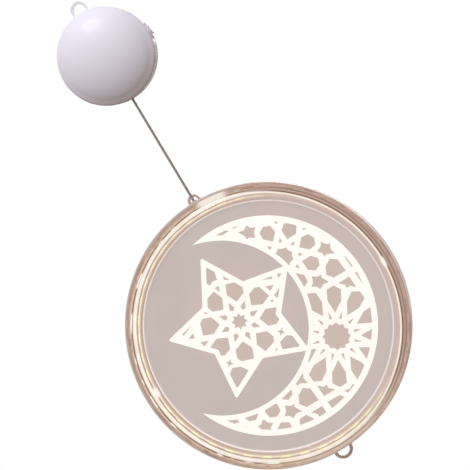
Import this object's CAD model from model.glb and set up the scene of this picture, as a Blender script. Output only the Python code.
"""Looks of the hanging light: a gloss white battery box carries an edge-lit disc on a short cord.

Metres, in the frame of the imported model: +Z up, the front faces -Y. The box and the disc are
round about lines along Y, so a point of theirs is given as a radius, a height towards the front
and an angle from +X.
"""
import math

import bmesh
import bpy
import numpy as np
from mathutils import Matrix, Vector


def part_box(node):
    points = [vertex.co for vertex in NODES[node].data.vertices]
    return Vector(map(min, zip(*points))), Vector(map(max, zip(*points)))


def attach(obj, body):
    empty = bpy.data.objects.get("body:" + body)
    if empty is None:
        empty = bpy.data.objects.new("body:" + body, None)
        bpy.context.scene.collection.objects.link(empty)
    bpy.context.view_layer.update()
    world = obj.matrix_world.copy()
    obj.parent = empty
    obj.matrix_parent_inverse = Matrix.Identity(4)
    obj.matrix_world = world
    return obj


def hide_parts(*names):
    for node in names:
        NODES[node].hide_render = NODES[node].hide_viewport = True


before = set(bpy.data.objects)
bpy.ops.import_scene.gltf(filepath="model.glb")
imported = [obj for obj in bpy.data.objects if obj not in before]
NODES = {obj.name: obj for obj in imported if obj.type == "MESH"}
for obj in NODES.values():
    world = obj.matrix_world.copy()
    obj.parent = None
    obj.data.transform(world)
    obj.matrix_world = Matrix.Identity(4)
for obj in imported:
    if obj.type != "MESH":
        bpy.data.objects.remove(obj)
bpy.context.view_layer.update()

MM = 0.001
FULL = 2 * math.pi
X, Y, Z = range(3)
# faces that meet at less than this are shaded as one round surface
CREASE = math.radians(35)


def middle(node):
    low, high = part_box(node)
    return (low + high) / 2


def half_width(node):
    low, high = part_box(node)
    return (high.x - low.x) / 2


BOX_Z = middle("front_dome").z
DISC_Z = middle("light_plate").z
PLATE_FACE = 2 * MM

# Camera
PHOTO_PX = 470
PHOTO_MM_PER_PX = 0.695
DISC_PX = Vector((268.5, 325.45))
SLANT = math.radians(31.2)
TO_CAMERA = Vector((0.129, -0.991, -0.020)).normalized()
CAMERA_DISTANCE = 4.0
SENSOR_MM = 36.0


def make_camera():
    """The camera looks along the photograph's line, rolled with the ornament's slant, and is aimed
    so that the disc's middle falls on its place in the picture."""
    up = Vector((math.sin(SLANT), 0, math.cos(SLANT)))
    up = (up - TO_CAMERA * up.dot(TO_CAMERA)).normalized()
    right = up.cross(TO_CAMERA)
    px = PHOTO_MM_PER_PX * MM
    disc_right = (DISC_PX.x - PHOTO_PX / 2) * px
    disc_down = (DISC_PX.y - PHOTO_PX / 2) * px
    aim = Vector((0, 0, DISC_Z)) - right * disc_right + up * disc_down
    data = bpy.data.cameras.new("photo_camera")
    data.sensor_width = SENSOR_MM
    data.lens = SENSOR_MM * CAMERA_DISTANCE / (PHOTO_PX * px)
    data.clip_start = 0.05
    data.clip_end = 50
    camera = bpy.data.objects.new("photo_camera", data)
    bpy.context.scene.collection.objects.link(camera)
    turn = Matrix((right, up, TO_CAMERA)).transposed()
    camera.matrix_world = Matrix.Translation(aim + TO_CAMERA * CAMERA_DISTANCE) @ turn.to_4x4()
    bpy.context.scene.camera = camera


make_camera()
bpy.context.scene.view_settings.view_transform = "Standard"


# Surfaces
def put(name, points, faces, body, slot, coat, stands_for=()):
    """Makes a piece of points and faces, with its doubles merged and its faces turned outwards."""
    mesh = bpy.data.meshes.new(name)
    mesh.from_pydata(points.reshape(-1, 3).tolist(), [], faces.tolist())
    work = bmesh.new()
    work.from_mesh(mesh)
    bmesh.ops.remove_doubles(work, verts=work.verts, dist=1e-7)
    if work.calc_volume(signed=True) < 0:
        bmesh.ops.reverse_faces(work, faces=work.faces)
    work.to_mesh(mesh)
    work.free()
    piece = bpy.data.objects.new(name, mesh)
    bpy.context.scene.collection.objects.link(piece)
    return dress(piece, body, coat, stands_for)


def dress(piece, body, coat, stands_for=()):
    """Smooths a piece, gives it its material, body and slot, and hides what it stands for."""
    mesh = piece.data
    mesh.polygons.foreach_set("use_smooth", np.ones(len(mesh.polygons), bool))
    mesh.set_sharp_from_angle(angle=CREASE)
    mesh.materials.clear()
    mesh.materials.append(coat.material)
    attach(piece, body)
    if stands_for:
        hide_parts(*stands_for)
    return piece


def copied(node, name, coat, body, bevel):
    """A copy of a CAD node with its loose triangles joined and its edges rounded off."""
    mesh = NODES[node].data.copy()
    mesh.name = name
    work = bmesh.new()
    work.from_mesh(mesh)
    bmesh.ops.remove_doubles(work, verts=work.verts, dist=2e-6)
    bmesh.ops.dissolve_limit(work, angle_limit=math.radians(0.5), verts=work.verts,
                             edges=work.edges)
    work.to_mesh(mesh)
    work.free()
    piece = bpy.data.objects.new(name, mesh)
    bpy.context.scene.collection.objects.link(piece)
    dress(piece, body, coat, [node])
    if bevel:
        edge = piece.modifiers.new("rounded_edges", "BEVEL")
        edge.width = bevel
        edge.segments = 2
        edge.limit_method = "ANGLE"
        edge.angle_limit = CREASE
        edge.harden_normals = False


def grid_faces(rows, columns, wrap_rows, wrap_columns):
    """Quads between the neighbours of a grid, as one array of point numbers."""
    a = np.arange(rows if wrap_rows else rows - 1)
    b = np.arange(columns if wrap_columns else columns - 1)
    a, b = np.meshgrid(a, b, indexing="ij")
    a2, b2 = (a + 1) % rows, (b + 1) % columns
    return np.stack([a * columns + b, a2 * columns + b, a2 * columns + b2, a * columns + b2],
                    -1).reshape(-1, 4)


def round_points(radius, height, angle, centre_z):
    """A point at a radius and an angle round the line along Y, height towards the front."""
    return np.stack([radius * np.cos(angle), -height + 0 * angle,
                     centre_z + radius * np.sin(angle)], -1)


def lathe(radius, height, angles, centre_z):
    """A closed outline of radii and heights, carried round the line along Y."""
    radius, height = np.broadcast_arrays(radius, height)
    points = round_points(radius, height, angles[None, :] + 0 * radius, centre_z)
    return points, grid_faces(len(radius), len(angles), True, True)


def turned(outline, x, y, steps=48):
    """An outline of (radius, z) from axis to axis, carried round the upright line at x, y."""
    turn = np.arange(steps) * FULL / steps
    radius, z = outline[:, :1], outline[:, 1:]
    points = np.stack([x + radius * np.cos(turn), y + radius * np.sin(turn), z + 0 * turn], -1)
    return points, grid_faces(len(outline), steps, False, True)


def closed_bar(sections):
    """Rings of points one after the other, each end drawn together at its ring's middle."""
    count = sections.shape[1]
    ends = sections[[0, -1]].mean(1, keepdims=True) * np.ones((2, count, 1))
    points = np.concatenate([ends[:1], sections, ends[1:]])
    return points, grid_faces(len(points), count, False, True)


def rounded(corners, steps=4):
    """An outline through corners of (radius, height, rounding). Each is drawn as the curve
    corner + before x (1 - t)^2 + after x t^2, where before and after point along its two sides
    and are rounding / tan(half the corner's angle) long."""
    corner = np.array([c[:2] for c in corners], float)
    size = np.array([c[2] for c in corners], float)
    before = np.roll(corner, 1, 0) - corner
    after = np.roll(corner, -1, 0) - corner
    before /= np.linalg.norm(before, axis=1)[:, None]
    after /= np.linalg.norm(after, axis=1)[:, None]
    half = np.arccos(np.clip((before * after).sum(1), -1, 1)) / 2
    t = np.linspace(0, 1, steps + 1)[None, :, None]
    reach = (size / np.tan(half))[:, None, None]
    start, end = before[:, None] * reach, after[:, None] * reach
    arc = start * (1 - t) ** 2 + end * t ** 2
    return (corner[:, None] + arc).reshape(-1, 2)


# Finishes
class Finish:
    """A material and its nodes. Sockets are set by name, and a pattern reads Object coordinates."""

    def __init__(self, name, **sockets):
        self.material = bpy.data.materials.new(name)
        self.material.use_nodes = True
        self.tree = self.material.node_tree
        self.shader = self.tree.nodes["Principled BSDF"]
        for socket, value in sockets.items():
            self.set(socket.replace("_", " "), value)

    def set(self, socket, value):
        target = self.shader.inputs[socket]
        if isinstance(value, bpy.types.NodeSocket):
            self.tree.links.new(value, target)
        else:
            target.default_value = colour(value) if isinstance(value, tuple) else value

    def node(self, kind, inputs, out=0, **settings):
        made = self.tree.nodes.new("ShaderNode" + kind)
        for key, value in settings.items():
            setattr(made, key, value)
        for socket, value in inputs.items():
            if isinstance(value, bpy.types.NodeSocket):
                self.tree.links.new(value, made.inputs[socket])
            else:
                made.inputs[socket].default_value = value
        return made.outputs[out]

    def place(self):
        return self.node("TexCoord", {}, "Object")

    def along(self, axis):
        """A point's own X, Y or Z."""
        return self.node("SeparateXYZ", {0: self.place()}, axis)

    def calc(self, kind, a, b=0.0, c=0.0):
        return self.node("Math", {0: a, 1: b, 2: c}, operation=kind)

    def times(self, product, *others):
        """All the values multiplied together."""
        for other in others:
            product = self.calc("MULTIPLY", product, other)
        return product

    def noise(self, scale, detail=3.0, vector=None):
        return self.node("TexNoise", {"Vector": vector or self.place(), "Scale": scale,
                                      "Detail": detail})

    def stretches(self, turn, per_radian, start, low, high):
        """Soft stretches round the disc: 1 where a noise of the turn is over high."""
        noise = self.node("TexNoise", {"W": self.calc("MULTIPLY_ADD", turn, per_radian, start),
                                       "Scale": 1.0, "Detail": 1.0}, noise_dimensions="1D")
        return self.span(noise, low, high)

    def span(self, value, low, high, to_low=0.0, to_high=1.0, smooth=False):
        return self.node("MapRange", {"Value": value, "From Min": low, "From Max": high,
                                      "To Min": to_low, "To Max": to_high},
                         interpolation_type="SMOOTHSTEP" if smooth else "LINEAR")

    def window(self, value, place, half, fade=0.2):
        """1 round a place and 0 from half on, to each side. It falls over the outer part of half,
        as large a share of it as fade says."""
        away = self.calc("ABSOLUTE", self.calc("SUBTRACT", value, place))
        return self.span(away, half * (1 - fade), half, 1.0, 0.0, smooth=True)

    def blend(self, share, a, b):
        a = colour(a) if isinstance(a, tuple) else a
        b = colour(b) if isinstance(b, tuple) else b
        return self.node("Mix", {0: share, 6: a, 7: b}, 2, data_type="RGBA")

    def bands(self, value, low, high, stops):
        """Colours at their own places between low and high, faded from one to the next."""
        made = self.tree.nodes.new("ShaderNodeValToRGB")
        self.tree.links.new(self.span(value, low, high), made.inputs[0])
        steps = made.color_ramp.elements
        while len(steps) < len(stops):
            steps.new(0.5)
        for step, (place, shade) in zip(steps, stops):
            step.position = (place - low) / (high - low)
            step.color = colour(shade)
        return made.outputs[0]

    def bump(self, height, distance, strength=1.0):
        self.set("Normal", self.node("Bump", {"Height": height, "Distance": distance,
                                              "Strength": strength}))

    def radius(self, centre_z, lean=0.0, centre_x=0.0):
        """Distance from the line along Y through a centre. The line may lean along X by this share
        of the depth behind the plate's face."""
        x = self.calc("MULTIPLY_ADD", self.along(Y), lean, self.along(X))
        x = self.calc("ADD", x, lean * PLATE_FACE - centre_x)
        z = self.calc("SUBTRACT", self.along(Z), centre_z)
        return self.node("VectorMath", {0: self.node("CombineXYZ", {0: x, 2: z})}, 1,
                         operation="LENGTH")

    def angle(self, centre_z):
        """Turn from +X about the line along Y, towards +Z."""
        z = self.calc("SUBTRACT", self.along(Z), centre_z)
        return self.calc("ARCTAN2", z, self.along(X))


def colour(shade):
    """A colour written as red, green and blue from 0 to 255, as the light's own value."""
    level = np.array(shade[:3], float) / 255
    linear = np.where(level <= 0.04045, level / 12.92, ((level + 0.055) / 1.055) ** 2.4)
    return (*linear.tolist(), 1.0)


def in_mm(stops):
    """Stops of a colour ramp whose places are written in millimetres."""
    return [(place * MM, shade) for place, shade in stops]


# a grip rib's height, as many times that of the orange peel
RIB_HEIGHT = 14.0


def moulded(name, shade, shade_to, roughness, grain=700.0, depth=0.004, ribs=None, **sockets):
    """Moulded plastic: a slow drift of tone, a finely uneven polish and a faint orange peel. Ribs
    are (pitch, low, high): fine grip lines above each other, between those places on Z."""
    made = Finish(name, **sockets)
    made.set("Base Color", made.blend(made.noise(22.0, 4.0), shade, shade_to))
    made.set("Roughness", made.span(made.noise(60.0, 6.0), 0.3, 0.7, roughness - 0.02,
                                    roughness + 0.04))
    skin = made.noise(grain, 2.0)
    if ribs:
        pitch, low, high = ribs
        wave = made.calc("SINE", made.times(made.along(Z), FULL / pitch))
        inside = made.window(made.along(Z), (low + high) / 2, (high - low) / 2)
        skin = made.calc("MULTIPLY_ADD", made.times(wave, inside), RIB_HEIGHT, skin)
    made.bump(skin, depth * MM)
    return made


def metal(name, shade, shade_to, roughness, scale=(60, 900, 900)):
    """Plated steel with fine drawn lines and a few dull patches."""
    made = Finish(name, Metallic=1.0)
    lines = made.noise(1.0, 3.0, made.node("Mapping", {"Vector": made.place(), "Scale": scale}))
    made.set("Base Color", made.blend(made.noise(240.0, 5.0), shade, shade_to))
    made.set("Roughness", made.span(lines, 0.3, 0.7, roughness - 0.08, roughness + 0.1))
    made.bump(lines, 0.01 * MM)
    return made


LID_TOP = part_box("cell_cover")[1].z
LID_RIBS = (1.6 * MM, LID_TOP - 11 * MM, LID_TOP - 3 * MM)
KNOB_RIBS = (0.8 * MM, BOX_Z - 4 * MM, BOX_Z + 4 * MM)

box_white = moulded("box_white", (242, 239, 243), (238, 235, 239), 0.5,
                    Specular_IOR_Level=0.3, Coat_Weight=0.1, Coat_Roughness=0.1)
lid_white = moulded("lid_white", (240, 240, 248), (236, 236, 244), 0.34, ribs=LID_RIBS)
knob_white = moulded("knob_white", (238, 238, 246), (232, 232, 240), 0.36, ribs=KNOB_RIBS,
                     depth=0.001)
tray_white = moulded("tray_white", (222, 222, 219), (212, 212, 208), 0.5, 1100.0, 0.01)
switch_black = moulded("switch_black", (34, 34, 36), (26, 26, 28), 0.5, 1300.0, 0.01)
ferrule_beige = moulded("ferrule_beige", (214, 200, 180), (202, 186, 164), 0.42)
contact_steel = metal("contact_steel", (205, 205, 208), (180, 180, 184), 0.28)
screw_steel = metal("screw_steel", (196, 196, 200), (160, 160, 166), 0.32, (900, 60, 900))
lead_red = moulded("lead_red", (182, 40, 34), (160, 30, 28), 0.45, 900.0)


def cell_sleeve(number, foot, way):
    """A shrunk sleeve: green, a pale ring and a dark foot at the negative end, bare steel ends.
    Its places are in mm from the cell's foot."""
    made = Finish(f"sleeve_{number}", Coat_Weight=0.4, Coat_Roughness=0.15)
    height = made.times(made.calc("SUBTRACT", made.along(Z), foot), way)
    steel, dark, pale, green = (196, 196, 198), (52, 60, 58), (206, 206, 204), (40, 118, 92)
    sleeve_end, bare_from, cell_end = 42.6, 42.7, 44.5
    stops = [(0, steel), (0.4, steel), (0.45, dark), (12, dark), (12.3, pale), (13.2, pale),
             (13.5, green), (sleeve_end, green), (bare_from, steel), (cell_end, steel)]
    tone = made.bands(height, 0.0, cell_end * MM, in_mm(stops))
    made.set("Base Color", made.blend(made.span(made.noise(300.0, 5.0), 0.35, 0.65, 0.0, 0.2),
                                      tone, (90, 104, 100)))
    made.set("Metallic", made.span(height, sleeve_end * MM, bare_from * MM))
    made.set("Roughness", made.span(made.noise(220.0), 0.3, 0.7, 0.28, 0.4))
    made.bump(made.noise(500.0, 3.0), 0.01 * MM)
    return made


def resistor_bands():
    """A dipped beige body with four colour rings and tinned ends, in mm from its lower end."""
    made = Finish("resistor_bands", Roughness=0.4, Coat_Weight=0.3)
    low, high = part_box("resistor")
    body, tin = (214, 190, 150), (190, 190, 192)
    stops = [(0, tin), (0.5, tin), (0.6, body)]
    for place, shade in ((1.2, (150, 70, 30)), (2.1, (30, 30, 30)), (2.9, (30, 30, 30)),
                         (4.5, (180, 140, 60))):
        stops += [(place - 0.05, body), (place, shade), (place + 0.4, shade), (place + 0.45, body)]
    stops += [(5.4, body), (5.5, tin), (6, tin)]
    made.set("Base Color", made.bands(made.along(Z), low.z, high.z, [
        (low.z + place, shade) for place, shade in in_mm(stops)]))
    made.bump(made.noise(900.0, 3.0), 0.01 * MM)
    return made


# Cord
CORD_D = 1.9 * MM
CORD_LAY = 9 * MM
CORD_ROUTE = [(0.0, 0.0, -z * MM) for z in range(75, 161, 5)]


def cord_jacket():
    """Two leads twisted in a clear jacket: a pale and a dark stripe wind round the cord."""
    made = Finish("cord_jacket", Coat_Weight=0.5, Coat_Roughness=0.2)
    around = made.calc("ARCTAN2", made.along(Y), made.along(X))
    wind = made.calc("MULTIPLY_ADD", made.along(Z), -FULL / CORD_LAY, around)
    stripe = made.span(made.calc("SINE", made.times(wind, 2.0)), -0.6, 0.6, smooth=True)
    made.set("Base Color", made.blend(stripe, (136, 125, 117), (154, 143, 133)))
    made.set("Roughness", made.span(made.noise(400.0), 0.3, 0.7, 0.3, 0.45))
    made.bump(made.noise(900.0, 3.0), 0.01 * MM)
    return made


cord_coat = cord_jacket()


def make_cord():
    """A straight tube along -Z: radius = half the cord x (1 - swell + swell x cos(2 x turn)). The
    turn is measured from a line that winds round once for each lay of the leads inside."""
    swell = 0.025
    z = np.linspace(CORD_ROUTE[0][Z], CORD_ROUTE[-1][Z], 221)
    around = np.arange(20) * FULL / 20
    z, around = np.meshgrid(z, around, indexing="ij")
    wave = np.cos(2 * (around - z * FULL / CORD_LAY))
    radius = CORD_D / 2 * (1 - swell + swell * wave)
    tube = np.stack([radius * np.cos(around), radius * np.sin(around), z], -1)
    cord = put("cord_tube", *closed_bar(tube), "hanging_cord", "cord_jacket", cord_coat, ["cord"])


make_cord()

# Battery box
ROUND = np.arange(256) * FULL / 256
DOME_R = half_width("front_dome")
SPLIT_H = 4 * MM
DOME_H = -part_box("front_dome")[0].y - SPLIT_H
DOME_WALL = 1.6 * MM


def dome_outline(radius, rise):
    """The dome's skin from its top outwards: height = rise x (1 - share^2)^(1/1.4)."""
    share = np.sin(np.linspace(0, math.pi / 2, 56))
    height = SPLIT_H + rise * np.maximum(1 - share ** 2, 0) ** (1 / 1.4)
    return np.stack([radius * share, height], 1)


def make_dome():
    """The dome, a lip that carries its slope out over the case's rim, and its spigot inside."""
    skin = dome_outline(DOME_R, DOME_H)
    skin = skin[skin[:, 0] < 0.93 * DOME_R]
    lip = np.array([(-1.5, 6.25), (-0.6, 5.68), (0.2, 5.12), (0.7, 4.72), (0.95, 4.4),
                    (1.05, 4.05)]) * MM + [DOME_R, 0]
    lip_foot = lip[-1, 1]
    inner_r = DOME_R - DOME_WALL
    spigot_r = inner_r + 0.8 * MM
    spigot_end, chamfer = SPLIT_H - 2 * MM, 0.2 * MM
    spigot = [[spigot_r, lip_foot], [spigot_r, spigot_end + chamfer],
              [spigot_r - chamfer, spigot_end], [inner_r, spigot_end]]
    inner = dome_outline(inner_r, DOME_H - DOME_WALL)[::-1]
    outline = np.concatenate([skin, lip, spigot, inner])
    put("dome_shell", *lathe(outline[:, :1], outline[:, 1:], ROUND, BOX_Z), "battery_box",
        "box_white", box_white, ["front_dome"])


make_dome()
copied("back_case", "case_shell", box_white, "battery_box", 0.35 * MM)
copied("cell_cover", "cell_lid", lid_white, "cell_cover", 0.25 * MM)
copied("switch_knob", "switch_slider", knob_white, "switch_knob", 0.25 * MM)


def rod_outline(corners, foot, way=1):
    """Corners of (radius, distance from the foot, rounding) in mm, as radii and heights in Z."""
    outline = rounded(corners) * MM
    return np.stack([outline[:, 0], foot + way * outline[:, 1]], 1)


def make_cell(number):
    """A can with a crimped foot, a grooved shoulder and a button, under its sleeve."""
    node = f"cell_{number}"
    low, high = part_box(node)
    centre = middle(node)
    way = 1 if centre.z > BOX_Z else -1
    foot = low.z if way > 0 else high.z
    outline = rod_outline([
        (0, 0.3, 0), (3.9, 0.3, 0.1), (4.2, 0, 0.1), (4.9, 0, 0.3), (5.1, 0.4, 0.1),
        (5.25, 0.5, 0.1), (5.25, 42.7, 0.3), (4.8, 43.5, 0.2), (4.2, 43.5, 0.1), (4, 43.2, 0.1),
        (2.4, 43.2, 0.1), (1.9, 43.5, 0.1), (1.9, 44.5, 0.35), (0, 44.5, 0)], foot, way)
    put(f"{node}_can", *turned(outline, centre.x, centre.y), "battery_box", "cell_wrap",
        cell_sleeve(number, foot, way), [node])


def make_spring(number):
    """A conical coil, closed at both ends. Its centre line winds up from the wide foot: radius =
    foot's x (1 - taper x rise), where rise = t^2 x (3 - 2t) goes slowly at the two ends."""
    node = f"contact_spring_{number}"
    low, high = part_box(node)
    centre = middle(node)
    wire, turns, taper = 0.3 * MM, 5.5, 0.4
    way = -1 if centre.z > BOX_Z else 1
    foot = low.z if way > 0 else high.z
    t = np.linspace(0, 1, 133)[:, None]
    around = np.arange(8) * FULL / 8
    rise = t * t * (3 - 2 * t)
    line_r = (1 - taper * rise) * half_width(node) - wire
    turn = turns * FULL * t
    radius = line_r + wire * np.cos(around)
    z = foot + way * (wire + rise * (high.z - low.z - 2 * wire) + wire * np.sin(around))
    points = np.stack([centre.x + radius * np.cos(turn), centre.y + radius * np.sin(turn), z], -1)
    put(f"coil_{number}", *closed_bar(points), "battery_box", "contact_steel", contact_steel,
        [node])


def make_resistor():
    """A dipped rod, thicker over its two end caps, with a stub of each lead."""
    centre = middle("resistor")
    outline = rod_outline([
        (0, 0, 0), (0.3, 0, 0.1), (0.3, 0.5, 0.05), (0.9, 0.6, 0.1), (1.1, 1, 0.2), (1.1, 1.8, 0.2),
        (0.92, 2, 0.1), (0.92, 4, 0.1), (1.1, 4.2, 0.2), (1.1, 5, 0.2), (0.9, 5.4, 0.1),
        (0.3, 5.5, 0.05), (0.3, 6, 0.1), (0, 6, 0)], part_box("resistor")[0].z)
    put("resistor_body", *turned(outline, centre.x, centre.y, 24), "battery_box", "resistor_body",
        resistor_bands(), ["resistor"])


def make_screws():
    """Four screws along Y: a pan head with a cross recess, and a shank with a wavy thread."""
    low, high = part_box("case_screws")
    mesh = NODES["case_screws"].data
    spots = np.empty(len(mesh.vertices) * 3)
    mesh.vertices.foreach_get("co", spots)
    spots = spots.reshape(-1, 3)
    shank, tip, half_pitch, thread_depth = 1 * MM, 0.6 * MM, 0.4 * MM, 0.2 * MM
    arm_half, hub, recess_depth, recess_rows = 0.28 * MM, 0.45 * MM, 0.7 * MM, 4
    head = np.array([(0, 0), (0.4, 0), (0.5, 0), (1.2, 0), (1.25, 0), (1.6, 0), (1.9, 0.05),
                     (2, 0.25), (2, 1.5), (1, 1.5)]) * MM
    thread = np.arange(-high.y + 1.6 * MM, -low.y - 0.8 * MM, half_pitch)
    wavy = shank - thread_depth * (1 + (-1.0) ** np.arange(len(thread))) / 2
    radius = np.concatenate([head[:, 0], wavy, [tip, 0]])[:, None]
    height = np.concatenate([head[:, 1] - high.y, thread, [-low.y, -low.y]])[:, None]
    turn = np.arange(48) * FULL / 48
    arm = np.minimum(np.abs(np.sin(turn)), np.abs(np.cos(turn))) * radius < arm_half
    recess = (np.arange(len(radius))[:, None] < recess_rows) & (arm | (radius < hub))
    height = np.where(recess, height + recess_depth, height)
    for number, (side, row) in enumerate(((-1, -1), (-1, 1), (1, -1), (1, 1)), 1):
        own = spots[(spots[:, X] * side > 0) & ((spots[:, Z] - BOX_Z) * row > 0)]
        x, z = ((own.min(0) + own.max(0)) / 2)[[X, Z]]
        points = round_points(radius + 0 * turn, height, turn, z)
        points[..., X] += x
        put(f"screw_{number}", points, grid_faces(len(radius), len(turn), False, True),
            "battery_box", "contact_steel", screw_steel, ["case_screws"])


for number in (1, 2, 3):
    make_cell(number)
    make_spring(number)
make_resistor()
make_screws()
for name, slot, coat, bevel in (
        ("cell_tray", "tray_white", tray_white, 0.15 * MM),
        ("contact_plates", "contact_steel", contact_steel, 0.1 * MM),
        ("switch_body", "switch_black", switch_black, 0.12 * MM),
        ("cord_bush", "box_white", box_white, 0.1 * MM),
        ("cord_tail", "cord_jacket", cord_coat, 0), ("box_leads", "lead_red", lead_red, 0)):
    copied(name, name + "_made", coat, "battery_box", bevel)
copied("cord_ferrule", "ferrule_made", ferrule_beige, "cord_ferrule", 0.1 * MM)
copied("ring_leads", "ring_leads_made", lead_red, "light_disc", 0)

# Disc
PLATE_R = half_width("light_plate")
FIGURE_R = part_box("crescent_print")[1].x
LIGHT_COUNT = 43
# in mm, as the ring's outlines are: its window, its outer edge, and half its depth
WINDOW_R, RING_R, RING_H = 87.5, 100, 6
# the leads' notch at the top, the cover's clips and the body's gaps for them: (angle, half angle)
NOTCH = [(math.radians(90), 9.28 / 96)]
TAB_R = 99
TAB_ANGLES = [math.radians(22.5 + 45 * k) for k in range(8)]
TABS = [(a, 5 / TAB_R) for a in TAB_ANGLES]
TAB_GAPS = [(a, 5.3 / TAB_R) for a in TAB_ANGLES]

PALE, CREAM, TAN, BROWN = (255, 250, 240), (242, 224, 202), (206, 184, 160), (172, 144, 126)
MAUVE, LIP, GREY, HOT = (190, 164, 149), (250, 240, 232), (202, 186, 180), (255, 252, 240)
BUFF, DARK, STRAW = (216, 192, 170), (136, 106, 88), (238, 212, 170)
PEACH, SHADE, SLATE, YELLOW = (255, 244, 226), (112, 86, 70), (216, 204, 197), (255, 252, 204)
# The lit channel as it shows through the clear plastic: (radius in mm, colour). The strip's bright
# run lies about a line a little below the disc's middle, which leans along X with the depth. Its
# far side lies about a centre moved towards -X.
BRIGHT_RUN = [(88, GREY), (88.4, MAUVE), (88.9, MAUVE), (89.4, TAN), (90, BUFF), (90.4, CREAM),
              (90.8, PALE), (91.2, CREAM), (91.5, TAN), (91.85, BROWN), (92.1, BROWN), (92.35, TAN),
              (92.7, CREAM), (93.05, PALE), (94.5, PALE), (94.9, CREAM), (95.2, TAN), (95.5, DARK),
              (95.95, DARK), (96.25, TAN), (96.6, BUFF), (97.2, BUFF), (97.8, MAUVE), (98.5, BROWN),
              (99, BROWN), (99.7, MAUVE), (100.4, GREY), (100.9, MAUVE)]
BRIGHT_DROP, BRIGHT_LEAN = 0.6 * MM, 0.129
FAR_RUN = [(88, GREY), (91.6, GREY), (92.2, BUFF), (92.8, GREY), (93.4, BUFF), (93.9, PEACH),
           (94.65, PEACH), (94.95, TAN), (95.2, SHADE), (95.6, SHADE), (96.1, BROWN), (96.6, MAUVE),
           (97, MAUVE), (97.35, BROWN), (97.7, DARK), (98.2, BROWN), (98.9, MAUVE), (100, MAUVE),
           (100.8, BROWN), (101.1, MAUVE), (101.4, SLATE), (102.1, SLATE)]
FAR_DROP, FAR_X = 0.5 * MM, -1.7 * MM
RUN_LOW, RUN_HIGH = 86 * MM, 102.5 * MM
# the centre of the cover's lip, as it shows
LIP_DROP, LIP_X = 0.1 * MM, -0.15 * MM


def light_spots(made, near, far):
    """1 in the middle of each light and 0 between them, by the turn round the disc."""
    turn = made.times(made.angle(DISC_Z), LIGHT_COUNT / FULL)
    away = made.calc("ABSOLUTE", made.calc("SUBTRACT", made.calc("FRACT", turn), 0.5))
    return made.span(away, near, far, 1.0, 0.0, smooth=True)


def lit_side(made):
    """1 round most of the disc, where the strip's run is brightest, and 0 towards +X."""
    return made.span(made.along(X), 12 * MM, 60 * MM, 1.0, 0.0, smooth=True)


def with_marks(made, tone, turn, radius, side):
    """Adds broken lines at their own radii: (radius, half width) in mm, colour, and how the noise
    that breaks them meets a share of the ring. The first two also stand at every clip."""
    clips = made.window(made.calc("PINGPONG", turn, FULL / 16), FULL / 16, 5.2 / TAB_R, 0.1)
    for place, half, shade, meets, share in (
            (97.2, 0.7, DARK, "MAXIMUM", clips), (99.1, 0.6, BUFF, "MAXIMUM", clips),
            (98.2, 0.9, DARK, "MULTIPLY", 1.0), (97, 0.5, STRAW, "MULTIPLY", side),
            (94.2, 0.7, STRAW, "MULTIPLY", side)):
        piece = made.calc(meets, made.stretches(turn, 7.0, place, 0.52, 0.62), share)
        mark = made.times(piece, made.window(radius, place * MM, half * MM, 0.9))
        tone = made.blend(made.times(mark, 0.55), tone, shade)
    return tone


def with_lights(made, tone, turn, radius, far_radius, side):
    """Adds a paler foot, a dot for each light on the bright run, and glints on the far side."""
    height = made.calc("SUBTRACT", made.along(Z), DISC_Z)
    tone = made.blend(made.span(height, -92 * MM, -60 * MM, 0.2, 0.0), tone, CREAM)
    dots = made.times(light_spots(made, 0.16, 0.34), side,
                      made.window(radius, 91 * MM, 0.9 * MM, 0.4),
                      made.span(height, -60 * MM, 60 * MM, 1.0, 0.6))
    tone = made.blend(dots, tone, YELLOW)
    glints = made.times(made.stretches(turn, 6.0, 0.0, 0.5, 0.62),
                        made.window(far_radius, 94.3 * MM, 0.6 * MM, 0.4))
    return made.blend(glints, tone, HOT)


def stray_light(made, turn, radius):
    """1 where light leaks out: beside the leads at the top, and in a spot at each side."""
    leaks = made.times(made.window(turn, math.radians(83), math.radians(8), 0.5), 0.7,
                       made.window(radius, 96.6 * MM, 3 * MM, 0.2))
    for value, place, spot_r, half in ((made.calc("ABSOLUTE", turn), math.pi, 91.4, 2.6),
                                       (turn, -0.035, 92, 2)):
        spot = made.times(made.window(value, place, 0.06, 0.8),
                          made.window(radius, spot_r * MM, half * MM, 0.6))
        leaks = made.calc("MAXIMUM", leaks, spot)
    return leaks


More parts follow.
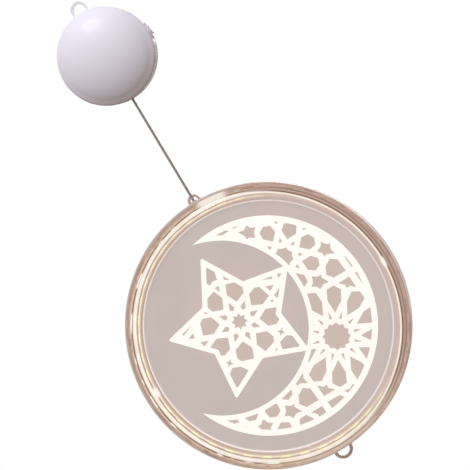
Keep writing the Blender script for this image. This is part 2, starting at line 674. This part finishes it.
def ring_coat(name, glow, near_density, far_density, **sockets):
    """Clear tinted plastic with what shows through it from the lit channel: bands by radius, with
    broken lines, lights and stray light over them, and the glowing lip beside the plate. The
    densities are how much of what lies behind each radius it covers."""
    made = Finish(name, **sockets)
    lip_glow, lip_wear, edge_matt, worn_brown = 0.92, 0.45, 0.55, (60, 46, 40)
    turn = made.angle(DISC_Z)
    side = lit_side(made)
    at_top = made.span(made.calc("SUBTRACT", made.along(Z), DISC_Z), 84 * MM, 92 * MM,
                       0.0, 0.35 * MM)
    radius = made.calc("ADD", made.radius(DISC_Z - BRIGHT_DROP, BRIGHT_LEAN), at_top)
    far_radius = made.radius(DISC_Z - FAR_DROP, 0.0, FAR_X)
    tone = made.blend(side, made.bands(far_radius, RUN_LOW, RUN_HIGH, in_mm(FAR_RUN)),
                      made.bands(radius, RUN_LOW, RUN_HIGH, in_mm(BRIGHT_RUN)))
    tone = with_marks(made, tone, turn, radius, side)
    tone = with_lights(made, tone, turn, radius, far_radius, side)
    lip = made.span(made.radius(DISC_Z - LIP_DROP, 0.0, LIP_X), 87.55 * MM, 87.85 * MM, 1.0, 0.0)
    tone = made.blend(lip, tone, LIP)
    tone = made.blend(stray_light(made, turn, radius), tone, HOT)
    made.set("Emission Color", tone)
    made.set("Emission Strength", made.span(lip, 0, 1, glow, lip_glow))
    worn = made.calc("MULTIPLY_ADD", lip, lip_wear,
                     made.span(made.noise(60.0, 5.0), 0.35, 0.65, 0.45, 0.52))
    made.set("Base Color", made.blend(worn, tone, worn_brown))
    made.set("Alpha", made.blend(side, made.bands(far_radius, RUN_LOW, RUN_HIGH, far_density),
                                 made.bands(radius, RUN_LOW, RUN_HIGH, near_density)))
    made.set("Roughness", made.calc(
        "ADD", made.span(made.noise(160.0, 6.0), 0.3, 0.7, 0.14, 0.24),
        made.span(made.radius(DISC_Z), 98.7 * MM, 99.4 * MM, 0.0, edge_matt)))
    made.bump(made.noise(300.0, 2.0), 0.001 * MM)
    return made


def level(share):
    """The written level, from 0 to 1, whose own light is this share."""
    return 12.92 * share if share <= 0.0031308 else 1.055 * share ** (1 / 2.4) - 0.055


def shares(*stops):
    """Stops of (radius in mm, share covered) for a density."""
    return in_mm([(radius, 3 * (255 * level(share),)) for radius, share in stops])


# shares of the figure's radius: its bite's and star's places in X and Z, and where each fades
BITE_AT, BITE_FADE = (-0.377, 0.198), (0.795, 0.86)
STAR_AT, STAR_FADE = (-0.204, 0.166), (0.35, 0.55)


def figure_fade(made, place, fade, to_low, to_high):
    """A fade between two distances from a place, all of them shares of the figure's radius."""
    x, z = place
    low, high = fade
    away = made.radius(DISC_Z + z * FIGURE_R, 0.0, x * FIGURE_R)
    return made.span(away, low * FIGURE_R, high * FIGURE_R, to_low, to_high)


def plate_coat():
    """Cast acrylic: flat mauve grey, a little warmer behind the figure and towards +X, with the
    lights' spots and dark lines near its edge, and a fine bright line where the cover's lip lies
    on it."""
    made = Finish("plate_coat", Coat_Weight=0.2, Coat_Roughness=0.04, Alpha=0.85,
                  Emission_Strength=0.77)
    radius = made.radius(DISC_Z - LIP_DROP, 0.0, LIP_X)
    face, warm_face, bright, depth = (202, 187, 181), (210, 190, 179), (242, 231, 224), (24, 20, 18)
    cream, glow, spot = (240, 222, 196), (255, 242, 222), (255, 252, 236)
    stops = [(84, face), (85.6, (200, 185, 179)), (86.6, face), (86.85, (214, 200, 193)),
             (87.15, bright), (87.5, bright), (88, (196, 178, 170)), (89.2, (190, 168, 154)),
             (90.1, (196, 172, 152)), (90.5, cream), (91.4, cream), (91.8, (196, 172, 150)),
             (92.2, (214, 192, 170)), (92.28, glow), (93, glow)]
    tone = made.bands(radius, 84 * MM, 93 * MM, in_mm(stops))
    in_crescent = made.times(made.span(radius, 0.93 * FIGURE_R, FIGURE_R, 1.0, 0.0),
                             figure_fade(made, BITE_AT, BITE_FADE, 0.0, 1.0))
    in_star = figure_fade(made, STAR_AT, STAR_FADE, 1.0, 0.0)
    far_share = made.times(made.calc("SUBTRACT", 1.0, lit_side(made)), 0.45)
    warm = made.calc("MAXIMUM", made.calc("MAXIMUM", in_star, in_crescent), far_share)
    inside = made.span(radius, 84 * MM, 86 * MM, 1.0, 0.0)
    tone = made.blend(made.times(warm, inside), tone, warm_face)
    spots = made.times(made.window(radius, 90.9 * MM, 0.7 * MM, 0.4),
                       light_spots(made, 0.06, 0.3), lit_side(made))
    tone = made.blend(spots, tone, spot)
    made.set("Emission Color", tone)
    made.set("Base Color", made.blend(made.span(made.noise(35.0, 4.0), 0.4, 0.6, 0.82, 0.86),
                                      tone, depth))
    made.set("Roughness", made.span(made.noise(90.0, 6.0), 0.3, 0.7, 0.1, 0.2))
    made.bump(made.noise(30.0, 2.0), 0.004 * MM)
    return made


def print_coat():
    """Cream ink, lit from the plate's edge: a fine dotted screen, and a slow drift of its glow."""
    made = Finish("print_coat", Roughness=0.7, Emission_Strength=1.0)
    drift = made.span(made.noise(18.0, 3.0), 0.35, 0.65)
    made.set("Base Color", made.blend(drift, (206, 202, 192), (200, 196, 184)))
    made.set("Emission Color", made.blend(drift, (210, 208, 199), (206, 204, 195)))
    dots = made.node("TexVoronoi", {"Vector": made.place(), "Scale": 1600.0})
    made.bump(dots, 0.01 * MM, 0.5)
    return made


def strip_coat():
    """White flexible circuit, with bare pads between the lights."""
    made = Finish("strip_coat", Roughness=0.45)
    pads = made.span(light_spots(made, 0.42, 0.47), 0, 1, 1.0, 0.0)
    made.set("Base Color", made.blend(pads, (240, 234, 220), (206, 160, 96)))
    made.set("Emission Color", (255, 240, 210))
    made.set("Emission Strength", made.span(light_spots(made, 0.1, 0.5), 0, 1, 0.25, 0.6))
    made.bump(made.noise(600.0, 2.0), 0.01 * MM)
    return made


def light_coat():
    """White body with a glowing phosphor face towards the disc's middle."""
    made = Finish("light_coat", Roughness=0.35)
    face = made.span(made.radius(DISC_Z), 94.15 * MM, 94.4 * MM, 1.0, 0.0)
    made.set("Base Color", made.blend(face, (244, 240, 228), (255, 214, 120)))
    made.set("Emission Color", made.blend(face, (255, 236, 200), (255, 228, 160)))
    made.set("Emission Strength", made.span(face, 0, 1, 0.25, 3.0))
    made.bump(made.noise(900.0, 2.0), 0.01 * MM)
    return made


def ring_angles(gaps):
    """Even steps round the ring, with a pair of steps at each edge of each gap (middle, half)."""
    edges = [m + s * h + e for m, h in gaps for s in (-1, 1) for e in (-1e-4, 1e-4)]
    return np.unique(np.concatenate([np.arange(360) * FULL / 360, np.array(edges) % FULL]))


def in_gaps(angles, gaps):
    """Which of the angles lie inside a gap."""
    inside = np.zeros(len(angles), bool)
    for m, h in gaps:
        inside |= np.abs((angles - m + math.pi) % FULL - math.pi) < h
    return inside


def stepped(outline, angles, steps):
    """Heights of an outline round the ring: steps gives (height to replace, lowest radius,
    which angles, height there)."""
    radius, height = outline[:, :1] * MM, outline[:, 1:] * np.ones(len(angles))
    for old, low_r, where, new in steps:
        row = np.isclose(outline[:, 1], old) & (outline[:, 0] > low_r)
        height = np.where(row[:, None] & where[None, :], new, height)
    return radius, height * MM


def make_ring_body():
    """The back half of the ring: a shelf under the plate, a wall behind the strip that parts at
    the notch, and an outer wall that steps down at the clips' gaps."""
    floor, wall_top, rim_top = -4.6, 4.2, 4.44
    outline = rounded([
        (WINDOW_R, -RING_H, 0.4), (RING_R, -RING_H, 0.8), (RING_R, rim_top, 0.1),
        (98.2, rim_top, 0.1), (98.2, floor, 0.3), (96.5, floor, 0.3), (96.5, wall_top, 0),
        (95.5, wall_top, 0), (95.5, floor, 0.3), (89.9, floor, 0.3), (89.9, -2, 0.2),
        (88.7, -2, 0.2), (88.7, floor, 0.3), (WINDOW_R, floor, 0.3)])
    angles = ring_angles(NOTCH + TAB_GAPS)
    radius, height = stepped(outline, angles, [
        (rim_top, 98, in_gaps(angles, TAB_GAPS), 1.1),
        (wall_top, 95, in_gaps(angles, NOTCH), floor + 0.1)])
    solid = shares((86, 1), (101, 1))
    coat = ring_coat("ring_body_coat", 0.6, solid, solid, Specular_IOR_Level=0.0,
                     Coat_Weight=0.12, Coat_Roughness=0.15)
    put("ring_body", *lathe(radius, height, angles, DISC_Z), "light_disc", "ring_clear", coat,
        ["back_ring"])


def make_ring_cover():
    """The front half of the ring: a ridged face, a lip that lies on the plate, a skirt that parts
    at the notch, and clips that reach down into the body's gaps."""
    under, skirt_end, clip_root = 4.5, 1.6, 4.49
    outline = rounded([
        (WINDOW_R, 2.03, 0.2), (88.7, 2.03, 0.2), (88.7, under, 0.2), (96.9, under, 0.2),
        (96.9, skirt_end, 0), (98, skirt_end, 0), (98, under, 0), (98.3, under, 0),
        (98.3, clip_root, 0), (RING_R, clip_root, 0), (RING_R, RING_H, 0.5), (98.9, RING_H, 0.1),
        (98.6, 5.75, 0.1), (97.3, 5.75, 0.1), (97, RING_H, 0.1), (95.9, RING_H, 0.1),
        (95.6, 5.7, 0.05), (95.3, RING_H, 0.1), (92.2, RING_H, 0.1), (91.9, 5.8, 0.05),
        (91.6, RING_H, 0.1), (89.6, RING_H, 0.1), (89.3, 5.75, 0.1), (88.7, 5.75, 0.1),
        (88.1, 5.3, 0.2)])
    angles = ring_angles(NOTCH + TABS)
    radius, height = stepped(outline, angles, [
        (skirt_end, 95, in_gaps(angles, NOTCH), under - 0.1),
        (clip_root, 98, in_gaps(angles, TABS), 1.4)])
    near = shares((86, 0.7), (88.8, 0.7), (94.2, 0.75), (94.6, 0.88), (101, 0.9))
    far = shares((86, 0.7), (93, 0.75), (93.5, 0.94), (95.8, 0.94), (96.2, 0.9), (101, 0.9))
    coat = ring_coat("ring_cover_coat", 0.6, near, far, Specular_IOR_Level=0.3, Coat_Weight=0.1,
                     Coat_Roughness=0.1)
    put("ring_cover", *lathe(radius, height, angles, DISC_Z), "light_disc", "ring_clear", coat,
        ["front_ring"])


def make_ear(name, side, width, rise, band, coat):
    """A loop under or over the ring, in mm: a rounded bar carried up, round a half circle and
    down. x = reach x cos(turn) and z = centre + reach x sin(turn), where reach is the loop's
    middle line and the distance across the bar from it."""
    wall, front, thick, edge = 98.4, -1.95, 3.0, 0.7
    crown = RING_R + rise - width / 2
    bar = rounded([(-band / 2, -thick / 2, edge), (band / 2, -thick / 2, edge),
                   (band / 2, thick / 2, edge), (-band / 2, thick / 2, edge)])
    reach = (width - band) / 2 + bar[:, 0]
    turn = np.linspace(0, math.pi, 33)
    cosine = np.concatenate([[1], np.cos(turn), [-1]])[:, None]
    sine = np.concatenate([[0], np.sin(turn), [0]])[:, None]
    centre = np.concatenate([[wall], np.full(len(turn), crown), [wall]])[:, None]
    x = reach * cosine
    z = (centre + reach * sine) * side
    y = -(front - thick / 2 + bar[:, 1]) + 0 * x
    points = np.stack([x, y, z], -1) * MM
    points[..., Z] += DISC_Z
    put(name, *closed_bar(points), "light_disc", "ring_clear", coat)


make_ring_body()
make_ring_cover()
ear_coat = moulded("ear_coat", (186, 164, 148), (176, 152, 136), 0.16, 300.0, Alpha=0.85,
                   Coat_Weight=0.4, Emission_Color=(150, 126, 112), Emission_Strength=0.35)
make_ear("upper_ear", 1, 9.4, 5.7, 2.0, ear_coat)
make_ear("lower_ear", -1, 14.0, 7.0, 2.3, ear_coat)


def make_plate():
    """Two flat faces of rings from the middle out, joined round a softened edge."""
    edge = PLATE_R / MM
    rings = np.array([0.0, 15, 30, 45, 60, 72, 82, 88, edge - 0.4])
    face = np.stack([rings, np.full(len(rings), PLATE_FACE / MM)], 1)
    rim = np.array([[edge - 0.12, 1.88], [edge, 1.6], [edge, -1.6], [edge - 0.12, -1.88]])
    outline = np.concatenate([face, rim, face[::-1] * [1, -1]]) * MM
    points = round_points(outline[:, :1], outline[:, 1:], ROUND, DISC_Z)
    put("plate", points, grid_faces(len(outline), len(ROUND), False, True), "light_disc",
        "plate_acrylic", plate_coat(), ["light_plate"])


def make_lights():
    """Each light is a block with rounded corners and a shallow dome on its face, at its own turn.
    Its outline is a square of fourth powers, drawn in at each of its levels (share, height)."""
    half_size = np.array([3.5, 2.8]) / 2
    foot_r = 95.05
    steps = 16
    turn = np.arange(steps) * FULL / steps
    square = np.abs(np.cos(turn)) ** 4 + np.abs(np.sin(turn)) ** 4
    rim = np.stack([np.cos(turn), np.sin(turn)], 1) / (square ** 0.25)[:, None]
    levels = [(0, 0.0), (1, 0.0), (1, 0.9), (0.93, 1.0), (0.78, 1.0), (0.72, 0.9), (0.5, 0.98),
              (0, 1.0)]
    rows = np.array([np.column_stack([rim * s * half_size, np.full(steps, h)]) for s, h in levels])
    place = np.radians(180 + 360 / LIGHT_COUNT * np.arange(LIGHT_COUNT))
    across, deep, radial = rows[..., 0], rows[..., 1], foot_r - rows[..., 2]
    c, s = np.cos(place)[:, None, None], np.sin(place)[:, None, None]
    points = np.stack([radial * c - across * s, deep + 0 * c, radial * s + across * c], -1) * MM
    points[..., Z] += DISC_Z
    one = grid_faces(len(levels), steps, False, True)
    first = np.arange(LIGHT_COUNT)[:, None, None] * len(levels) * steps
    put("light_packages", points, (one[None] + first).reshape(-1, 4), "light_disc", "light_warm",
        light_coat(), ["lights"])


make_plate()
make_lights()
ink = print_coat()
for name, coat in {"crescent_print": ink, "star_print": ink, "light_strip": strip_coat()}.items():
    mesh = NODES[name].data
    mesh.materials.clear()
    mesh.materials.append(coat.material)

# Studio
FLOOR_Z = -0.47


def make_floor():
    """A round pale floor below the ornament. Its middle takes the shadow, its rim fades to white
    for the camera, gloss and glass."""
    angles = np.arange(96) * FULL / 96
    radius = np.array([[0.0], [0.2], [0.4], [0.6]])
    points = np.stack([radius * np.cos(angles), radius * np.sin(angles),
                       FLOOR_Z + 0 * radius * angles], -1).reshape(-1, 3)
    faces = grid_faces(len(radius), len(angles), False, True)[:, ::-1]
    mesh = bpy.data.meshes.new("floor")
    mesh.from_pydata(points.tolist(), [], faces.tolist())
    floor = bpy.data.objects.new("floor", mesh)
    bpy.context.scene.collection.objects.link(floor)
    made = Finish("floor_white", Roughness=0.9)
    flat = made.node("Mapping", {"Vector": made.place(), "Scale": (1, 1, 0)})
    away = made.node("VectorMath", {0: flat}, 1, operation="LENGTH")
    fade = made.span(away, 0.25, 0.58, smooth=True)
    rays = made.tree.nodes.new("ShaderNodeLightPath")
    made.set("Base Color", made.blend(rays.outputs["Is Diffuse Ray"], (245, 245, 245),
                                      (130, 122, 120)))
    seen = made.calc("MAXIMUM", rays.outputs["Is Camera Ray"], made.calc(
        "MAXIMUM", rays.outputs["Is Glossy Ray"], rays.outputs["Is Transmission Ray"]))
    white = made.node("Emission", {"Color": (1, 1, 1, 1), "Strength": 1.0})
    mix = made.node("MixShader", {0: made.times(fade, seen), 1: made.shader.outputs[0], 2: white})
    made.tree.links.new(mix, made.tree.nodes["Material Output"].inputs[0])
    mesh.materials.append(made.material)


def make_world(room):
    """Plain warm grey light from all round. The camera, gloss and glass see white instead."""
    world = bpy.data.worlds.new("studio")
    bpy.context.scene.world = world
    world.use_nodes = True
    tree = world.node_tree
    ground = tree.nodes["Background"]
    rays = tree.nodes.new("ShaderNodeLightPath")
    seen = rays.outputs["Is Camera Ray"]
    for kind in ("Is Glossy Ray", "Is Transmission Ray"):
        either = tree.nodes.new("ShaderNodeMath")
        either.operation = "MAXIMUM"
        tree.links.new(seen, either.inputs[0])
        tree.links.new(rays.outputs[kind], either.inputs[1])
        seen = either.outputs[0]
    shade = tree.nodes.new("ShaderNodeMix")
    shade.data_type = "RGBA"
    shade.inputs[6].default_value = (*room, 1)
    shade.inputs[7].default_value = (1, 1, 1, 1)
    tree.links.new(seen, shade.inputs[0])
    tree.links.new(shade.outputs[2], ground.inputs[0])


def make_lamp(name, place, aim, size, power, shade):
    """A square soft lamp at a place, turned to its aim."""
    data = bpy.data.lights.new(name, "AREA")
    data.size = size
    data.energy = power
    data.color = shade
    lamp = bpy.data.objects.new(name, data)
    lamp.location = place
    lamp.rotation_euler = (Vector(aim) - Vector(place)).to_track_quat("-Z", "Y").to_euler()
    bpy.context.scene.collection.objects.link(lamp)


make_floor()
make_world((0.28, 0.205, 0.17))
make_lamp("key", (-0.05, -1.37, 1.61), (0, 0, -0.1), 0.9, 45, (0.79, 0.86, 1.0))
make_lamp("back", (0.3, 2.0, 0.4), (0, 0, -0.15), 1.0, 16, (1.0, 0.98, 0.96))
